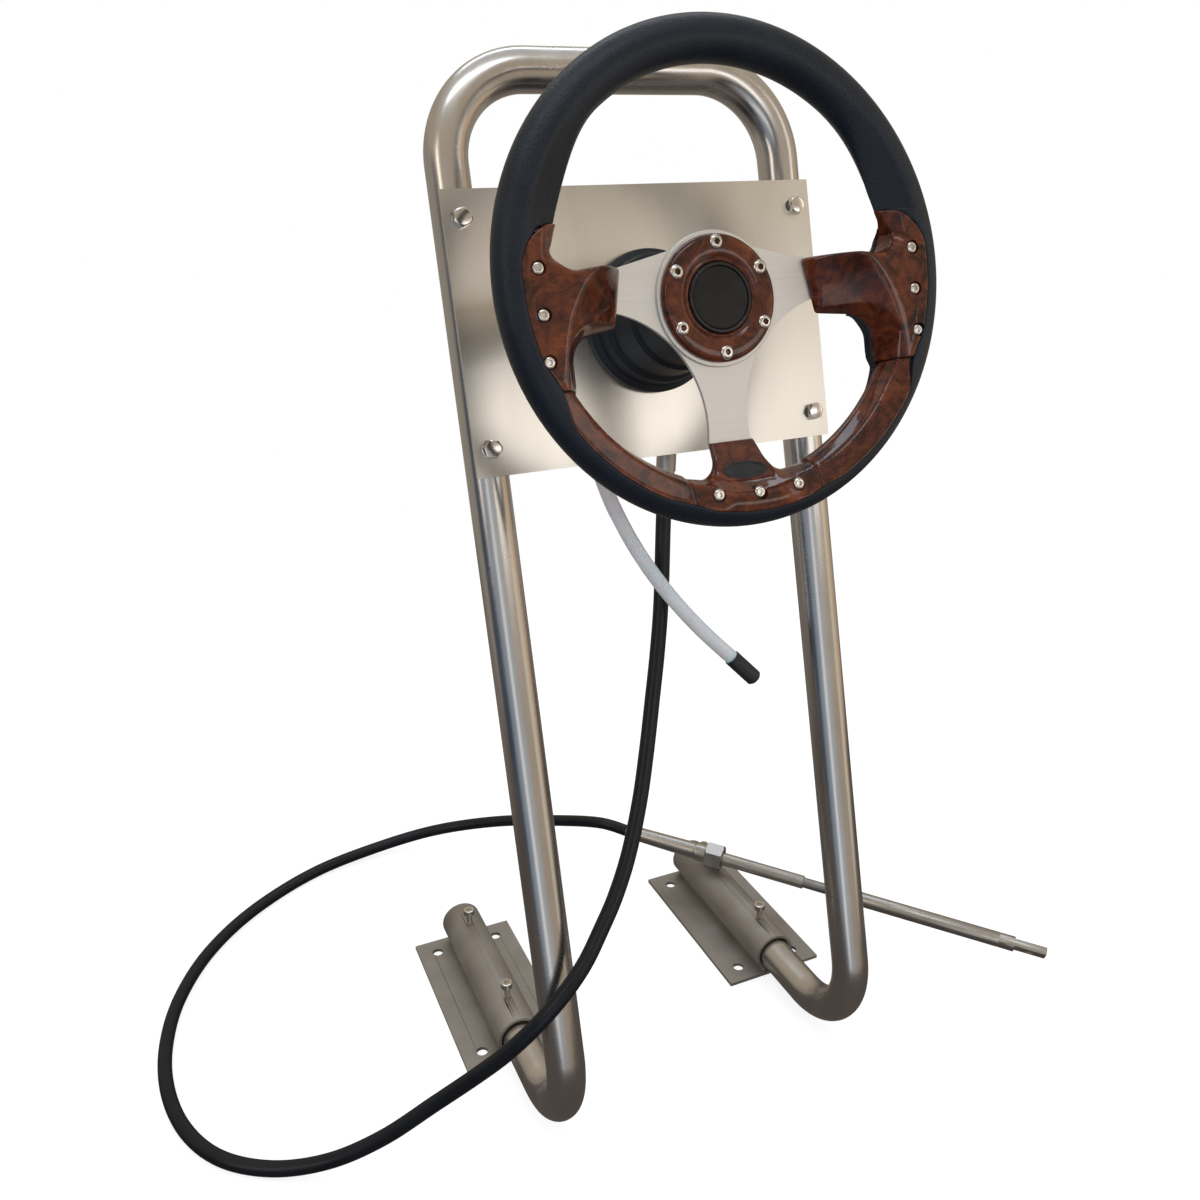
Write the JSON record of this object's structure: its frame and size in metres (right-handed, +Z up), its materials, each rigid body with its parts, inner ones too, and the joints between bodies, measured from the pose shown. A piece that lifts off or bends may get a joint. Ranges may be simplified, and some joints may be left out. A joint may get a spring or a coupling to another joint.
{
  "type": "boat steering helm",
  "caption": "Boat steering wheel on a bent stainless tube stand, with a rotary cable helm behind its plate and a push-pull steering cable.",
  "frame": {"origin": "on the deck, midway between the two base plates", "axes": "+X to the right seen from the wheel's side, +Y to the back, along the feet, +Z up"},
  "size_m": [0.8806, 0.5773, 0.9038],
  "materials": {
    "polished_tube": "polished",
    "dull_steel": "matte",
    "bright_screws": "bright",
    "brushed_plate": "brushed",
    "black_plastic": "satin",
    "black_casting": "black paint",
    "gear_steel": "machined",
    "bronze": "turned",
    "seal_rubber": "matte",
    "core_steel": "drawn",
    "ferrule_steel": "satin",
    "milky_plastic": "milky translucent",
    "cap_rubber": "satin",
    "jacket_black": "satin",
    "rim_black": "grained",
    "spoke_alloy": "brushed",
    "burl_wood": "glossy lacquer",
    "gloss_black": "gloss",
    "charcoal_plastic": "fine matte grain",
    "badge_dark": "gloss",
    "hub_alloy": "machined",
    "drum_alloy": "machined"
  },
  "bodies": {
    "stand": {"stand_tube": "polished_tube", "base_plate_left": "dull_steel", "base_plate_right": "dull_steel", "socket_left": "dull_steel", "socket_right": "dull_steel", "set_screws": "bright_screws", "helm_plate": "brushed_plate", "plate_bolts": "bright_screws", "plate_nuts": "bright_screws", "helm_bezel": "black_plastic", "helm_case": "black_casting", "case_bolts": "bright_screws", "case_cover": "black_casting", "cover_screws": "bright_screws", "ring_gear": "gear_steel", "front_bush": "bronze", "rear_bush": "bronze", "shaft_seal": "seal_rubber", "cable_core": "core_steel", "cable_ferrule": "ferrule_steel", "ferrule_pin": "bronze", "spent_fitting": "black_plastic", "spent_tube": "milky_plastic", "spent_tube_cap": "cap_rubber", "cable_jacket": "jacket_black", "output_tube": "ferrule_steel"},
    "wheel": {"wheel_rim": "rim_black", "rim_core": "core_steel", "spoke_plate": "spoke_alloy", "trim_left": "burl_wood", "trim_right": "burl_wood", "trim_bottom": "burl_wood", "arc_trim_left": "burl_wood", "arc_trim_right": "burl_wood", "trim_screws": "bright_screws", "hub_ring": "burl_wood", "hub_screws": "bright_screws", "cap_ring": "gloss_black", "centre_cap": "charcoal_plastic", "badge": "badge_dark", "hub_adapter": "hub_alloy", "helm_shaft": "gear_steel", "sun_gear": "gear_steel", "shaft_key": "gear_steel", "shaft_washer": "bright_screws", "shaft_nut": "bright_screws"},
    "drum": {"cable_drum": "drum_alloy", "planet_pins": "gear_steel"},
    "planet_a": {"planet_1": "gear_steel"},
    "planet_b": {"planet_2": "gear_steel"},
    "planet_c": {"planet_3": "gear_steel"},
    "ram": {"ram_rod": "core_steel", "ram_tube": "ferrule_steel", "ram_end": "ferrule_steel"},
    "cable_nut": {"cable_nut": "ferrule_steel"}
  },
  "joints": [
    {"name": "wheel_turn", "type": "hinge", "parent": "stand", "child": "wheel", "pos_m": [0, -0.09506, 0.69459], "axis": [0, -0.9692, 0.2462], "range_deg": [-1000.6, 245.5]},
    {"name": "drum_turn", "type": "hinge", "parent": "stand", "child": "drum", "pos_m": [0, -0.09506, 0.69459], "axis": [0, -0.9692, 0.2462], "range_deg": [-222.4, 54.6]},
    {"name": "planet_a_spin", "type": "hinge", "parent": "drum", "child": "planet_a", "pos_m": [0, -0.02541, 0.70476], "axis": [0, -0.9692, 0.2462], "range_deg": [-152.8, 622.7]},
    {"name": "planet_b_spin", "type": "hinge", "parent": "drum", "child": "planet_b", "pos_m": [-0.02338, -0.03538, 0.66551], "axis": [0, -0.9692, 0.2462], "range_deg": [-152.8, 622.7]},
    {"name": "planet_c_spin", "type": "hinge", "parent": "drum", "child": "planet_c", "pos_m": [0.02338, -0.03538, 0.66551], "axis": [0, -0.9692, 0.2462], "range_deg": [-152.8, 622.7]},
    {"name": "ram_slide", "type": "slide", "parent": "stand", "child": "ram", "axis": [0.7037, -0.7037, -0.0976], "range_m": [-0.04, 0.163]},
    {"name": "nut_spin", "type": "hinge", "parent": "stand", "child": "cable_nut", "pos_m": [0.1435, 0.0375, 0.06236], "axis": [0.7037, -0.7037, -0.0976], "continuous": true}
  ],
  "couplings": [
    {"joint": "drum_turn", "follows": "wheel_turn", "ratio": 0.22222},
    {"joint": "planet_a_spin", "follows": "wheel_turn", "ratio": -0.62222},
    {"joint": "planet_b_spin", "follows": "wheel_turn", "ratio": -0.62222},
    {"joint": "planet_c_spin", "follows": "wheel_turn", "ratio": -0.62222},
    {"joint": "ram_slide", "follows": "wheel_turn", "m_per_rad": -0.0093333}
  ]
}
